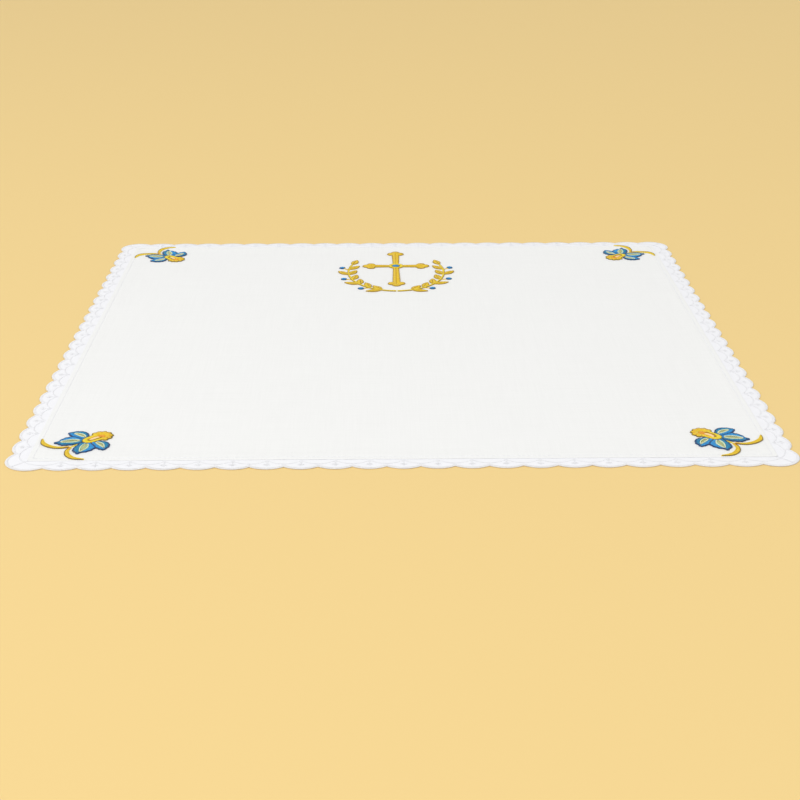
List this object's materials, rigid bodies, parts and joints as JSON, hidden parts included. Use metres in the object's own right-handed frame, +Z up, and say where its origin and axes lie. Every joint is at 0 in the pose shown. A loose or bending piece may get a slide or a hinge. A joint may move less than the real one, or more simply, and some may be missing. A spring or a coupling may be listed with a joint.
{
  "type": "altar cloth (square corporal with scalloped trim)",
  "caption": "Square white linen altar cloth lying flat, with a scalloped trim, embroidered corner flowers and a cross between leafy sprays near its back edge.",
  "frame": {"origin": "on the underside, at the middle of the cloth", "axes": "+Z up from the table, -Y towards the front edge, +Y towards the back edge that bears the emblem, +X to the right"},
  "size_m": [0.4, 0.4, 0.0021],
  "materials": {
    "linen": "bleached plain-weave linen, starched and ironed",
    "trim": "white cotton trim with a satin-stitched scalloped edge",
    "gold_thread": "old-gold rayon embroidery thread in satin stitch",
    "blue_thread": "azure rayon embroidery thread in satin stitch"
  },
  "bodies": {
    "root": {"linen_panel": "linen", "trim_front": "trim", "trim_right": "trim", "trim_back": "trim", "trim_left": "trim", "flower_front_right_petals": "blue_thread", "flower_front_right_trumpet": "gold_thread", "flower_front_right_tendrils": "gold_thread", "flower_back_right_petals": "blue_thread", "flower_back_right_trumpet": "gold_thread", "flower_back_right_tendrils": "gold_thread", "flower_back_left_petals": "blue_thread", "flower_back_left_trumpet": "gold_thread", "flower_back_left_tendrils": "gold_thread", "flower_front_left_petals": "blue_thread", "flower_front_left_trumpet": "gold_thread", "flower_front_left_tendrils": "gold_thread", "emblem_cross": "gold_thread", "emblem_boss": "blue_thread", "emblem_spray_right": "gold_thread", "emblem_berry_right_1": "blue_thread", "emblem_berry_right_2": "blue_thread", "emblem_berry_right_3": "blue_thread", "emblem_spray_left": "gold_thread", "emblem_berry_left_1": "blue_thread", "emblem_berry_left_2": "blue_thread", "emblem_berry_left_3": "blue_thread"}
  },
  "joints": []
}
